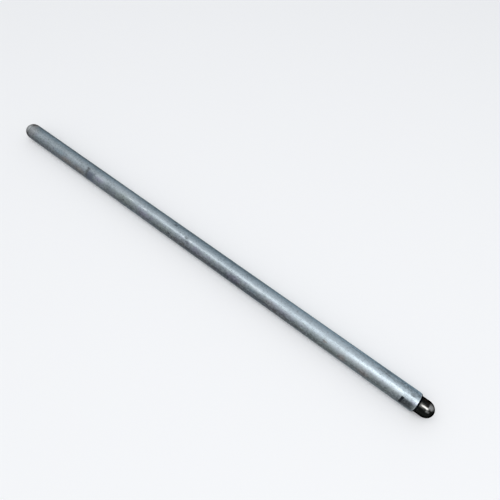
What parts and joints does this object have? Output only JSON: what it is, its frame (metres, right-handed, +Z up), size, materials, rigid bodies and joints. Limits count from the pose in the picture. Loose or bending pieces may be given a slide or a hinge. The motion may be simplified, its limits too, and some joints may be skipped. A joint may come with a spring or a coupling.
{
  "type": "engine pushrod",
  "caption": "Hollow alloy engine pushrod with a dark steel ball tip of reduced diameter at the rocker end and a full-width domed tip at the tappet end.",
  "frame": {"origin": "on the rod's axis, at the middle of its length", "axes": "+X along the rod, from the tappet end to the rocker end; +Z up as the rod lies"},
  "size_m": [0.2778, 0.0096, 0.0096],
  "materials": {
    "tube_alloy": "dull oxidised alloy, drawn lengthways, with fine scratches and stains",
    "rocker_tip_steel": "dark hardened steel, ground glossy, oily",
    "tappet_tip_steel": "dull grey hardened steel with a warm film"
  },
  "bodies": {
    "root": {"tube": "tube_alloy", "rocker_tip": "rocker_tip_steel", "tappet_tip": "tappet_tip_steel"}
  },
  "joints": []
}
